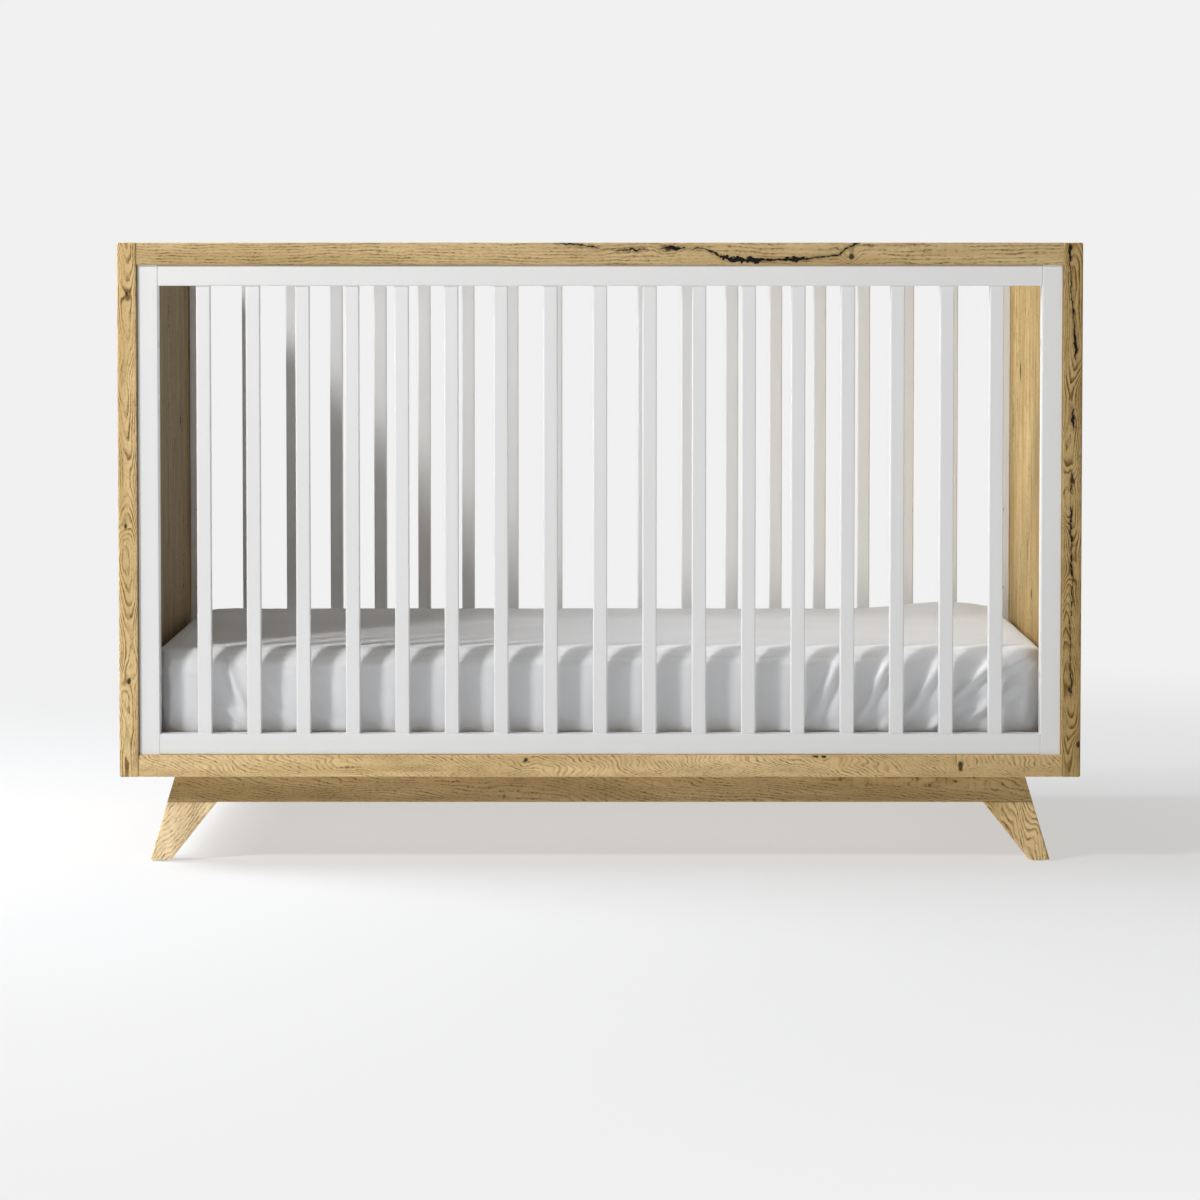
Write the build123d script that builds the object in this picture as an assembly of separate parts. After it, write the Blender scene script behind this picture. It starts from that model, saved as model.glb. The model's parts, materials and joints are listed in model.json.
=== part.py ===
"""Slatted baby crib with an oak case, two white slatted gates, a splayed oak base,
a mattress support that hangs at one of three heights, and a mattress in a fitted sheet.

Frame: millimetres, origin on the floor under the middle of the crib, +X along its length,
+Y from the front gate to the back gate, +Z up. Every part is modelled once, at the front
or in the front left corner, and mirrored to its other places.
"""

import os

from build123d import *

# Case: two end panels joined by four oak rails.
INNER_LENGTH = 1330.0  # clear length between the end panels
INNER_DEPTH = 711.0  # clear depth between the gates
PANEL_THICKNESS = 28.0
CASE_BOTTOM = 128.0
CASE_HEIGHT = 770.0
RAIL_HEIGHT = 32.0
RAIL_SETBACK = 1.5  # rails stand this far behind the end panels' edges
TOP_RAIL_DEPTH = 36.5
BOTTOM_RAIL_DEPTH = 70.0
OAK_EASING = 2.5  # radius on the oak edges

# Gates: two stiles, two rails and the slats between them.
GATE_THICKNESS = 25.0
GATE_SETBACK = 6.0
GATE_MEMBER = 30.0  # width of a stile and height of a gate rail
GATE_EASING = 2.0
SLAT_COUNT = 17
SLAT_WIDTH = 20.5
SLAT_DEPTH = 15.0
SLAT_SETBACK = 3.0  # slats stand this far behind the gate's front
SLAT_PITCH = 71.3
SLAT_TENON = 12.0  # how far a slat goes into each gate rail

# Base: two long aprons and two cross rails on four splayed legs.
BASE_SETBACK = 38.0
BASE_DEPTH = 38.0
LEG_TOP = 86.5
LEG_SPLAY = 0.3  # how far the outer edge goes out for each millimetre down
FOOT_REACH = 654.5  # where the outer edge would meet the floor
LEG_TOP_WIDTH = 72.0
FOOT_WIDTH = 30.0
CROSS_RAIL_WIDTH = 30.0
GLIDE_RADIUS = 11.0
GLIDE_HEIGHT = 2.5
GLIDE_CHAMFER = 0.6
NAIL_RADIUS = 1.25
NAIL_TOP = 15.0

# Mattress support: a birch frame with slats let into it, hung from steel hooks.
SUPPORT_TOP = 183.0
SUPPORT_THICKNESS = 18.0
SUPPORT_LENGTH = 1318.0
SUPPORT_RAIL = 45.0
SUPPORT_SLATS = 12
SUPPORT_SLAT_WIDTH = 60.0
SUPPORT_SLAT_THICKNESS = 9.0
SUPPORT_REBATE = 22.0
SUPPORT_EASING = 1.5
NOTCH_DEPTH = 5.0  # clears the hanger bolts as the support is moved
NOTCH_REACH = 8.0
HANGER_STEEL = 3.0
HANGER_GAP = 0.3  # between a hanger and the stile behind it
HANGER_OUTER = 662.0  # outer edge of a hanger's plate
HANGER_STRIP = 647.5  # outer edge of the strip below the hook
HANGER_INNER = 636.0
HANGER_ABOVE = 13.0  # steel above the middle of the bolt
HANGER_BELOW = 10.0  # depth of the hook below the middle of the bolt
LEAF_OUTER = 645.0  # outer edge of the leaf under the support
LEAF_INNER = 601.0
LEAF_DEPTH = 40.0
HANGER_BOLT_X = 651.0
HANGER_BOLT_Z = 215.0
HANGER_STEP = 127.0  # between the three heights of the support

# Mattress and its fitted sheet.
MATTRESS_LENGTH = 1311.0
MATTRESS_DEPTH = 692.0
MATTRESS_THICKNESS = 126.0
MATTRESS_CORNER = 45.0
MATTRESS_EDGE = 20.0
SHEET_THICKNESS = 1.0
SHEET_HEM = 60.0  # how far the sheet wraps under the mattress
REST_GAP = 0.3  # left between bodies that rest on each other

# Fasteners.
FIT = 0.05  # radial clearance of a hole round its fastener
M6_SHANK = 2.9
M6_BORE = 3.0
M8_SHANK = 3.9
DOWEL_RADIUS = 4.0
DOWEL_REACH = 15.0  # dowel length on each side of a joint
GATE_DOWEL_RADIUS = 3.0
GATE_BOLT_HEAD = 6.0
GATE_BOLT_RISE = 240.0  # above and below the middle of the case
GATE_BOLT_SUNK = 5.0  # head below the stile's edge
BOLT_HEAD_HEIGHT = 4.0
PANEL_INSERT_RADIUS = 5.0
PANEL_INSERT_LENGTH = 15.0
SUPPORT_INSERT_RADIUS = 4.5
SUPPORT_INSERT_LENGTH = 13.0
LEG_BOLT_X = 600.0
LEG_BOLT_HEAD = 6.5
LEG_BOLT_SUNK = 0.5  # head below the apron's top
LEG_BOLT_SEAT = 6.0  # depth of its counterbore
LEG_BOLT_END = 46.0
LEG_DOWEL_X = 575.0
BASE_SCREW_XS = (-450.0, -150.0, 150.0, 450.0)
BASE_SCREW_LENGTH = 60.0
BASE_SCREW_RADIUS = 2.5
SLAT_SCREW_LENGTH = 15.0
SLAT_SCREW_RADIUS = 1.75
HANGER_SCREW_LENGTH = 15.0
HANGER_SCREW_RADIUS = 2.0
HANGER_SCREW_XS = (637.0, 613.0)
HANGER_HEAD = 5.0
HANGER_HEAD_HEIGHT = 2.5
CASE_DOWELS_TOP = 9.0  # each side of the middle of the top rail
CASE_DOWELS_BOTTOM = 22.0
CROSS_DOWELS = (0.28, 0.72)  # heights in the cross rail, as shares of its height
SUPPORT_DOWELS = (0.3, 0.7)  # places across the end rail, as shares of its width
SCREW_HEAD = 2.0  # head radius for each millimetre of shank radius
SCREW_POINT = 0.15  # share of a screw's length that tapers
SCREW_SLOT = 0.9
SCREW_SLOT_DEPTH = 1.0
SOCKET_SHARE = 0.45  # a bolt's hexagon socket, as a share of its head
SOCKET_DEPTH = 0.65
STANDING = (Align.CENTER, Align.CENTER, Align.MIN)

# Worked out from the sizes above.
PANEL_X = INNER_LENGTH / 2  # inner face of an end panel
CASE_DEPTH = INNER_DEPTH + 2 * (GATE_THICKNESS + GATE_SETBACK)
FRONT = -CASE_DEPTH / 2
CASE_TOP = CASE_BOTTOM + CASE_HEIGHT
CASE_MIDDLE = CASE_BOTTOM + CASE_HEIGHT / 2
RAIL_FRONT = FRONT + RAIL_SETBACK
GATE_FRONT = FRONT + GATE_SETBACK
GATE_BACK = GATE_FRONT + GATE_THICKNESS
GATE_MIDDLE = GATE_FRONT + GATE_THICKNESS / 2
SLAT_MIDDLE = GATE_FRONT + SLAT_SETBACK + SLAT_DEPTH / 2
GATE_BOTTOM = CASE_BOTTOM + RAIL_HEIGHT
GATE_TOP = CASE_TOP - RAIL_HEIGHT
STILE_X = PANEL_X - GATE_MEMBER  # inner edge of a stile
BASE_FRONT = FRONT + BASE_SETBACK
BASE_BACK = BASE_FRONT + BASE_DEPTH
BASE_MIDDLE = BASE_FRONT + BASE_DEPTH / 2
SUPPORT_BOTTOM = SUPPORT_TOP - SUPPORT_THICKNESS
HANGER_FRONT = GATE_BACK + HANGER_GAP
SUPPORT_FRONT = HANGER_FRONT + HANGER_STEEL
SHEET_BOTTOM = SUPPORT_TOP + REST_GAP
MATTRESS_BOTTOM = SHEET_BOTTOM + SHEET_THICKNESS


def block(x, y, z):
    """A box from its (low, high) pair along each axis."""
    size = [high - low for low, high in (x, y, z)]
    middle = [(high + low) / 2 for low, high in (x, y, z)]
    return Pos(*middle) * Box(*size)


def prism(outline, y_low, y_high):
    """A solid with an outline of (x, z) points, between two values of y."""
    face = make_face(Polyline(*outline, close=True))
    return extrude(Plane.XZ.offset(-y_high) * face, y_high - y_low)


def along(start, end):
    """The plane at start that looks towards end, and the distance to it."""
    run = Vector(*end) - Vector(*start)
    return Plane(origin=start, z_dir=run), run.length


def rod(radius, start, end):
    """A round bar from one point to another."""
    place, length = along(start, end)
    return place * Cylinder(radius, length, align=STANDING)


def screw(radius, start, end):
    """A countersunk screw with a cross recess, whose head is flush at start."""
    place, length = along(start, end)
    head = SCREW_HEAD * radius
    shank_end = (1 - SCREW_POINT) * length
    cone = place * Cone(head, radius, head - radius, align=STANDING)
    shank = place * Cylinder(radius, shank_end, align=STANDING)
    point = place * Pos(0, 0, shank_end) * Cone(radius, 0.2, SCREW_POINT * length, align=STANDING)
    slot = Box(1.3 * head, SCREW_SLOT, SCREW_SLOT_DEPTH, align=STANDING)
    return cone + shank + point - place * slot - place * Rot(0, 0, 90) * slot


def screw_hole(radius, start, end):
    """The room that a countersunk screw takes, with clearance."""
    place, length = along(start, end)
    head = SCREW_HEAD * radius
    cone = Cone(head + FIT, radius + FIT, head - radius, align=STANDING)
    return place * cone + place * Cylinder(radius + FIT, length, align=STANDING)


def socket_bolt(shank, head, head_start, head_end, end):
    """A bolt with a hexagon socket: its head runs from head_start to head_end, its shank on to end."""
    place, height = along(head_start, head_end)
    socket = place * extrude(RegularPolygon(SOCKET_SHARE * head, 6), SOCKET_DEPTH * height)
    return rod(head, head_start, head_end) + rod(shank, head_end, end) - socket


def eased(solid, radius, *axes):
    """The solid with every edge along the given axes rounded."""
    edges = [edge for axis in axes for edge in solid.edges().filter_by(axis)]
    return fillet(edges, radius)


def left_right(solid):
    return [solid, mirror(solid, about=Plane.YZ)]


def front_back(solid):
    return [solid, mirror(solid, about=Plane.XZ)]


def corners(solid):
    """A front left piece and its copies in the other three corners."""
    return [copy for side in left_right(solid) for copy in front_back(side)]


def cut(solid, tools):
    """The solid without the tools."""
    for tool in tools:
        solid = solid - tool
    return solid


# Fasteners. Each list holds the pieces, and its holes are the room they need.


def across_joint(radius, point, direction, reach=DOWEL_REACH):
    """A dowel and its hole, centred on a point of a joint, along a direction."""
    half = Vector(*direction) * reach
    start, end = tuple(Vector(*point) - half), tuple(Vector(*point) + half)
    room = Vector(*direction) * (reach + 1)
    hole_ends = tuple(Vector(*point) - room), tuple(Vector(*point) + room)
    return rod(radius, start, end), rod(radius + FIT, *hole_ends)


def case_dowel_pairs():
    """Front left dowels that locate the oak rails on the end panel."""
    top_y = RAIL_FRONT + TOP_RAIL_DEPTH / 2
    bottom_y = RAIL_FRONT + BOTTOM_RAIL_DEPTH / 2
    rails = (
        (top_y, CASE_DOWELS_TOP, CASE_TOP - RAIL_HEIGHT / 2),
        (bottom_y, CASE_DOWELS_BOTTOM, CASE_BOTTOM + RAIL_HEIGHT / 2),
    )
    places = [(-PANEL_X, y + side * apart, z) for y, apart, z in rails for side in (-1, 1)]
    return [across_joint(DOWEL_RADIUS, place, (1, 0, 0)) for place in places]


def gate_dowel_pairs():
    """Front left dowels between a stile and the two gate rails."""
    heights = [
        middle + side * GATE_MEMBER / 4
        for middle in (GATE_BOTTOM + GATE_MEMBER / 2, GATE_TOP - GATE_MEMBER / 2)
        for side in (-1, 1)
    ]
    return [
        across_joint(GATE_DOWEL_RADIUS, (-STILE_X, GATE_MIDDLE, z), (1, 0, 0))
        for z in heights
    ]


def base_dowel_pairs():
    """Front left dowels from the leg and from the cross rail into the apron."""
    leg = across_joint(DOWEL_RADIUS, (-LEG_DOWEL_X, BASE_MIDDLE, LEG_TOP), (0, 0, 1))
    pairs = [leg]
    for share in CROSS_DOWELS:
        z = LEG_TOP + share * (CASE_BOTTOM - LEG_TOP)
        x = -(splay_x(z) - CROSS_RAIL_WIDTH / 2)
        pairs.append(across_joint(DOWEL_RADIUS, (x, BASE_BACK, z), (0, 1, 0)))
    return pairs


def support_dowel_pairs():
    """Front left dowels between the support's long rail and its end rail."""
    joint_y = SUPPORT_FRONT + SUPPORT_RAIL
    z = SUPPORT_BOTTOM + SUPPORT_THICKNESS / 2
    xs = [-SUPPORT_LENGTH / 2 + share * SUPPORT_RAIL for share in SUPPORT_DOWELS]
    return [across_joint(GATE_DOWEL_RADIUS, (x, joint_y, z), (0, 1, 0)) for x in xs]


def gate_bolt_heights():
    return [CASE_MIDDLE - GATE_BOLT_RISE, CASE_MIDDLE + GATE_BOLT_RISE]


def gate_bolt(z):
    """A bolt from the stile's inner edge into the end panel's insert."""
    head = -STILE_X - GATE_BOLT_SUNK
    seat = head - BOLT_HEAD_HEIGHT
    end = -PANEL_X - PANEL_INSERT_LENGTH + 1
    ends = [(x, GATE_MIDDLE, z) for x in (head, seat, end)]
    return socket_bolt(M6_SHANK, GATE_BOLT_HEAD - 0.5, *ends)


def gate_bolt_hole(z):
    """The counterbored hole through the stile."""
    seat = -STILE_X - GATE_BOLT_SUNK - BOLT_HEAD_HEIGHT
    wide = rod(GATE_BOLT_HEAD, (-STILE_X + 1, GATE_MIDDLE, z), (seat, GATE_MIDDLE, z))
    return wide + rod(M6_BORE, (seat, GATE_MIDDLE, z), (-PANEL_X - 1, GATE_MIDDLE, z))


def panel_insert_room(z, radius):
    return rod(radius, (-PANEL_X, GATE_MIDDLE, z), (-PANEL_X - PANEL_INSERT_LENGTH, GATE_MIDDLE, z))


def support_insert_room(z, radius):
    end = GATE_BACK - SUPPORT_INSERT_LENGTH
    return rod(radius, (-HANGER_BOLT_X, GATE_BACK, z), (-HANGER_BOLT_X, end, z))


def panel_insert(z):
    return panel_insert_room(z, PANEL_INSERT_RADIUS) - panel_insert_room(z, M6_BORE)


def support_insert(z):
    return support_insert_room(z, SUPPORT_INSERT_RADIUS) - support_insert_room(z, M6_BORE)


def hanger_heights():
    return [HANGER_BOLT_Z + step * HANGER_STEP for step in range(3)]


def hanger_bolt():
    """The shouldered bolt in the lowest insert that a hanger hooks over."""
    head = SUPPORT_FRONT + REST_GAP
    depths = (head + HANGER_HEAD_HEIGHT, head, GATE_BACK - SUPPORT_INSERT_LENGTH + 1)
    ends = [(-HANGER_BOLT_X, y, HANGER_BOLT_Z) for y in depths]
    return socket_bolt(M6_SHANK, HANGER_HEAD, *ends)


def leg_bolt():
    """The bolt from the apron down into the leg."""
    heights = (CASE_BOTTOM - LEG_BOLT_SUNK, CASE_BOTTOM - LEG_BOLT_SEAT, LEG_BOLT_END)
    ends = [(-LEG_BOLT_X, BASE_MIDDLE, z) for z in heights]
    return socket_bolt(M8_SHANK, LEG_BOLT_HEAD, *ends)


def leg_bolt_hole():
    x, y, seat = -LEG_BOLT_X, BASE_MIDDLE, CASE_BOTTOM - LEG_BOLT_SEAT
    wide = rod(LEG_BOLT_HEAD + FIT, (x, y, CASE_BOTTOM + 1), (x, y, seat))
    return wide + rod(M8_SHANK + FIT, (x, y, seat), (x, y, LEG_BOLT_END))


def base_screw_ends():
    """Where the screws run from the front apron up into the bottom rail."""
    y = (BASE_FRONT + RAIL_FRONT + BOTTOM_RAIL_DEPTH) / 2
    return [((x, y, LEG_TOP), (x, y, LEG_TOP + BASE_SCREW_LENGTH)) for x in BASE_SCREW_XS]


def support_slat_xs():
    inner = SUPPORT_LENGTH - 2 * SUPPORT_RAIL
    pitch = inner / SUPPORT_SLATS
    return [-inner / 2 + (number + 0.5) * pitch for number in range(SUPPORT_SLATS)]


def slat_screw_ends():
    """Where the screws hold the support's slats on the front rail's rebate."""
    y = SUPPORT_FRONT + SUPPORT_RAIL - SUPPORT_REBATE / 2
    return [((x, y, SUPPORT_TOP), (x, y, SUPPORT_TOP - SLAT_SCREW_LENGTH)) for x in support_slat_xs()]


def hanger_screw_ends():
    """Where two screws hold a hanger under the support's front left corner."""
    bottom = SUPPORT_BOTTOM - HANGER_STEEL
    y = SUPPORT_FRONT + LEAF_DEPTH / 2
    return [((-x, y, bottom), (-x, y, bottom + HANGER_SCREW_LENGTH)) for x in HANGER_SCREW_XS]


# Case.


def left_end_panel():
    panel = block((-PANEL_X - PANEL_THICKNESS, -PANEL_X), (FRONT, -FRONT), (CASE_BOTTOM, CASE_TOP))
    panel = eased(panel, OAK_EASING, Axis.X, Axis.Y, Axis.Z)
    holes = [panel_insert_room(z, PANEL_INSERT_RADIUS + FIT) for z in gate_bolt_heights()]
    holes += [hole for _, hole in case_dowel_pairs()]
    return cut(panel, [copy for hole in holes for copy in front_back(hole)])


def front_rail(depth, z_low):
    """An oak rail of the case between the end panels."""
    rail = block((-PANEL_X, PANEL_X), (RAIL_FRONT, RAIL_FRONT + depth), (z_low, z_low + RAIL_HEIGHT))
    rail = eased(rail, OAK_EASING, Axis.X)
    holes = [hole for _, hole in case_dowel_pairs()]
    return cut(rail, [copy for hole in holes for copy in left_right(hole)])


def front_bottom_rail():
    holes = [screw_hole(BASE_SCREW_RADIUS, *ends) for ends in base_screw_ends()]
    return cut(front_rail(BOTTOM_RAIL_DEPTH, CASE_BOTTOM), holes)


# Gates.


def front_slats():
    """The slats, from left to right."""
    length = GATE_TOP - GATE_BOTTOM - 2 * (GATE_MEMBER - SLAT_TENON)
    slat = eased(Box(SLAT_WIDTH, SLAT_DEPTH, length), GATE_EASING, Axis.Z)
    first = -(SLAT_COUNT - 1) / 2 * SLAT_PITCH
    xs = [first + number * SLAT_PITCH for number in range(SLAT_COUNT)]
    return [Pos(x, SLAT_MIDDLE, CASE_MIDDLE) * slat for x in xs]


def front_left_stile():
    stile = block((-PANEL_X, -STILE_X), (GATE_FRONT, GATE_BACK), (GATE_BOTTOM, GATE_TOP))
    stile = eased(stile, GATE_EASING, Axis.Z)
    holes = [gate_bolt_hole(z) for z in gate_bolt_heights()]
    holes += [support_insert_room(z, SUPPORT_INSERT_RADIUS + FIT) for z in hanger_heights()]
    holes += [hole for _, hole in gate_dowel_pairs()]
    return cut(stile, holes)


def front_gate_rail(z_low):
    rail = block((-STILE_X, STILE_X), (GATE_FRONT, GATE_BACK), (z_low, z_low + GATE_MEMBER))
    rail = eased(rail, GATE_EASING, Axis.X)
    holes = [copy for _, hole in gate_dowel_pairs() for copy in left_right(hole)]
    return cut(rail, front_slats() + holes)


# Base.


def splay_x(z):
    """How far out the outer edge of the base stands at a height."""
    return FOOT_REACH - LEG_SPLAY * z


def front_apron():
    top, bottom = splay_x(CASE_BOTTOM), splay_x(LEG_TOP)
    outline = [(-top, CASE_BOTTOM), (top, CASE_BOTTOM), (bottom, LEG_TOP), (-bottom, LEG_TOP)]
    apron = prism(outline, BASE_FRONT, BASE_BACK)
    apron = eased(apron, OAK_EASING, Axis.X)
    holes = [leg_bolt_hole()] + [hole for _, hole in base_dowel_pairs()]
    holes = [copy for hole in holes for copy in left_right(hole)]
    holes += [screw_hole(BASE_SCREW_RADIUS, *ends) for ends in base_screw_ends()]
    return cut(apron, holes)


def left_cross_rail():
    """The rail between the aprons, with the same splay as their ends."""
    top, bottom = splay_x(CASE_BOTTOM), splay_x(LEG_TOP)
    outline = [
        (-top, CASE_BOTTOM),
        (-top + CROSS_RAIL_WIDTH, CASE_BOTTOM),
        (-bottom + CROSS_RAIL_WIDTH, LEG_TOP),
        (-bottom, LEG_TOP),
    ]
    rail = eased(prism(outline, BASE_BACK, -BASE_BACK), OAK_EASING, Axis.Y)
    return cut(rail, [copy for _, hole in base_dowel_pairs()[1:] for copy in front_back(hole)])


def front_left_leg():
    top, foot = splay_x(LEG_TOP), splay_x(GLIDE_HEIGHT)
    outline = [
        (-top, LEG_TOP),
        (-top + LEG_TOP_WIDTH, LEG_TOP),
        (-foot + FOOT_WIDTH, GLIDE_HEIGHT),
        (-foot, GLIDE_HEIGHT),
    ]
    leg = prism(outline, BASE_FRONT, BASE_BACK)
    level = leg.edges().filter_by(Axis.X) + leg.edges().filter_by(Axis.Y)
    leg = fillet([edge for edge in leg.edges() if edge not in level], OAK_EASING)
    return cut(leg, [leg_bolt_hole(), base_dowel_pairs()[0][1], glide_nail(FIT)])


def glide_nail(clearance=0.0):
    x, y = glide_place()
    return rod(NAIL_RADIUS + clearance, (x, y, GLIDE_HEIGHT / 2), (x, y, NAIL_TOP + clearance))


def glide_place():
    return -splay_x(GLIDE_HEIGHT) + FOOT_WIDTH / 2, BASE_MIDDLE


def foot_glide():
    """A nail-on glide under the front left foot."""
    x, y = glide_place()
    pad = rod(GLIDE_RADIUS, (x, y, 0), (x, y, GLIDE_HEIGHT))
    pad = chamfer(pad.edges().group_by(Axis.Z)[0], GLIDE_CHAMFER)
    return pad + glide_nail()


# Mattress support.


def support_front_rail():
    """A long rail, rebated for the slats and notched round the hanger bolts."""
    end = SUPPORT_LENGTH / 2
    back = SUPPORT_FRONT + SUPPORT_RAIL
    notch_back = SUPPORT_FRONT + NOTCH_DEPTH
    rail = block((-end, end), (SUPPORT_FRONT, back), (SUPPORT_BOTTOM, SUPPORT_TOP))
    rebate_x = end - SUPPORT_RAIL
    rebate = block(
        (-rebate_x, rebate_x),
        (back - SUPPORT_REBATE, back),
        (SUPPORT_TOP - SUPPORT_SLAT_THICKNESS, SUPPORT_TOP),
    )
    notch_x = NOTCH_REACH - HANGER_BOLT_X
    notch = block((-end, notch_x), (SUPPORT_FRONT, notch_back), (SUPPORT_BOTTOM, SUPPORT_TOP))
    holes = [hole for _, hole in support_dowel_pairs()]
    holes += [screw_hole(HANGER_SCREW_RADIUS, *ends) for ends in hanger_screw_ends()]
    tools = [rebate] + [copy for tool in [notch, *holes] for copy in left_right(tool)]
    tools += [screw_hole(SLAT_SCREW_RADIUS, *ends) for ends in slat_screw_ends()]
    return cut(rail, tools)


def support_left_rail():
    """An end rail between the long rails."""
    end = SUPPORT_LENGTH / 2
    front = SUPPORT_FRONT + SUPPORT_RAIL
    rail = block((-end, -end + SUPPORT_RAIL), (front, -front), (SUPPORT_BOTTOM, SUPPORT_TOP))
    return cut(rail, [copy for _, hole in support_dowel_pairs() for copy in front_back(hole)])


def support_slats():
    reach = -(SUPPORT_FRONT + SUPPORT_RAIL - SUPPORT_REBATE)
    half = SUPPORT_SLAT_WIDTH / 2
    bottom = SUPPORT_TOP - SUPPORT_SLAT_THICKNESS
    screws = [screw_hole(SLAT_SCREW_RADIUS, *ends) for ends in slat_screw_ends()]
    slats = []
    for x, hole in zip(support_slat_xs(), screws):
        slat = block((x - half, x + half), (-reach, reach), (bottom, SUPPORT_TOP))
        slats.append(cut(eased(slat, SUPPORT_EASING, Axis.Y), front_back(hole)))
    return slats


def hanger():
    """The front left hook: a plate on the stile's inner face and a leaf under the support."""
    bottom, top = SUPPORT_BOTTOM - HANGER_STEEL, HANGER_BOLT_Z + HANGER_ABOVE
    lip = HANGER_BOLT_Z - HANGER_BELOW
    outline = [
        (-HANGER_OUTER, top),
        (-HANGER_INNER, top),
        (-HANGER_INNER, bottom),
        (-HANGER_STRIP, bottom),
        (-HANGER_STRIP, lip),
        (-HANGER_OUTER, lip),
    ]
    plate = prism(outline, HANGER_FRONT, SUPPORT_FRONT)
    plate = chamfer(plate.edges().filter_by(Axis.Y).group_by(Axis.Z)[-1], HANGER_STEEL)
    through = (HANGER_FRONT - 1, SUPPORT_FRONT + 1)
    slot_radius = M6_SHANK + REST_GAP
    slot_sides = (-HANGER_BOLT_X - slot_radius, slot_radius - HANGER_BOLT_X)
    slot = block(slot_sides, through, (lip - 1, HANGER_BOLT_Z))
    round_end = rod(slot_radius, *[(-HANGER_BOLT_X, y, HANGER_BOLT_Z) for y in through])
    leaf_back = SUPPORT_FRONT + LEAF_DEPTH
    leaf = block((-LEAF_OUTER, -LEAF_INNER), (HANGER_FRONT, leaf_back), (bottom, SUPPORT_BOTTOM))
    screws = [screw_hole(HANGER_SCREW_RADIUS, *ends) for ends in hanger_screw_ends()]
    return cut(plate + leaf, [slot, round_end, *screws])


# Mattress.


def pillow_block(grow, height):
    """A block with rounded corners and edges, larger than the mattress by grow all round."""
    body = Box(MATTRESS_LENGTH + 2 * grow, MATTRESS_DEPTH + 2 * grow, height)
    body = eased(body, MATTRESS_CORNER + grow, Axis.Z)
    rims = body.faces().sort_by(Axis.Z)
    return fillet(rims[0].edges() + rims[-1].edges(), MATTRESS_EDGE + grow)


def mattress():
    return Pos(0, 0, MATTRESS_BOTTOM + MATTRESS_THICKNESS / 2) * pillow_block(0, MATTRESS_THICKNESS)


def fitted_sheet():
    """A thin cover over the mattress, open underneath inside its hem."""
    outer = pillow_block(SHEET_THICKNESS, MATTRESS_THICKNESS + 2 * SHEET_THICKNESS)
    outer = Pos(0, 0, MATTRESS_BOTTOM + MATTRESS_THICKNESS / 2) * outer
    open_x, open_y = MATTRESS_LENGTH / 2 - SHEET_HEM, MATTRESS_DEPTH / 2 - SHEET_HEM
    opening = block((-open_x, open_x), (-open_y, open_y), (SHEET_BOTTOM - 1, MATTRESS_BOTTOM + 1))
    return outer - mattress() - opening


def group(solids):
    return Compound(children=list(solids))


def all_parts():
    """Every part by name. Identical fasteners share one name."""
    parts = {}
    parts["left_end_panel"], parts["right_end_panel"] = left_right(left_end_panel())
    top_rail = front_rail(TOP_RAIL_DEPTH, CASE_TOP - RAIL_HEIGHT)
    parts["front_top_rail"], parts["back_top_rail"] = front_back(top_rail)
    parts["front_bottom_rail"], parts["back_bottom_rail"] = front_back(front_bottom_rail())

    stiles = corners(front_left_stile())
    places = ("front_left", "back_left", "front_right", "back_right")
    for place, stile, leg in zip(places, stiles, corners(front_left_leg())):
        parts[f"{place}_stile"] = stile
        parts[f"{place}_leg"] = leg
    for name, z_low in (("top", GATE_TOP - GATE_MEMBER), ("bottom", GATE_BOTTOM)):
        rails = front_back(front_gate_rail(z_low))
        parts[f"front_gate_{name}_rail"], parts[f"back_gate_{name}_rail"] = rails
    slats = front_slats()
    for number, slat in enumerate(slats, 1):
        parts[f"front_slat_{number:02d}"] = slat
    parts["back_slats"] = group(mirror(slat, about=Plane.XZ) for slat in slats)

    parts["front_apron"], parts["back_apron"] = front_back(front_apron())
    parts["left_cross_rail"], parts["right_cross_rail"] = left_right(left_cross_rail())
    parts["foot_glides"] = group(corners(foot_glide()))

    parts["support_front_rail"], parts["support_back_rail"] = front_back(support_front_rail())
    parts["support_left_rail"], parts["support_right_rail"] = left_right(support_left_rail())
    parts["support_slats"] = group(support_slats())
    parts["support_hangers"] = group(corners(hanger()))
    parts["mattress"] = mattress()
    parts["fitted_sheet"] = fitted_sheet()

    low_bolts = [gate_bolt(z) for z in gate_bolt_heights()]
    parts["gate_bolts"] = group(copy for bolt in low_bolts for copy in corners(bolt))
    inserts = [panel_insert(z) for z in gate_bolt_heights()]
    parts["panel_inserts"] = group(copy for insert in inserts for copy in corners(insert))
    inserts = [support_insert(z) for z in hanger_heights()]
    parts["support_inserts"] = group(copy for insert in inserts for copy in corners(insert))
    parts["hanger_bolts"] = group(corners(hanger_bolt()))
    parts["leg_bolts"] = group(corners(leg_bolt()))

    pairs = case_dowel_pairs() + gate_dowel_pairs() + base_dowel_pairs()
    parts["dowels"] = group(copy for dowel, _ in pairs for copy in corners(dowel))
    parts["support_dowels"] = group(copy for dowel, _ in support_dowel_pairs() for copy in corners(dowel))
    base_screws = [screw(BASE_SCREW_RADIUS, *ends) for ends in base_screw_ends()]
    parts["base_screws"] = group(copy for one in base_screws for copy in front_back(one))
    slat_screws = [screw(SLAT_SCREW_RADIUS, *ends) for ends in slat_screw_ends()]
    parts["slat_screws"] = group(copy for one in slat_screws for copy in front_back(one))
    hanger_screws = [screw(HANGER_SCREW_RADIUS, *ends) for ends in hanger_screw_ends()]
    parts["hanger_screws"] = group(copy for one in hanger_screws for copy in corners(one))
    return parts


os.makedirs("parts", exist_ok=True)
for part_name, shape in all_parts().items():
    export_step(shape, f"parts/{part_name}.step")
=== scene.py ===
"""The baby crib: oak case and base, white lacquered gates, and a mattress in a fitted sheet."""

import json
import math
import random

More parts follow.
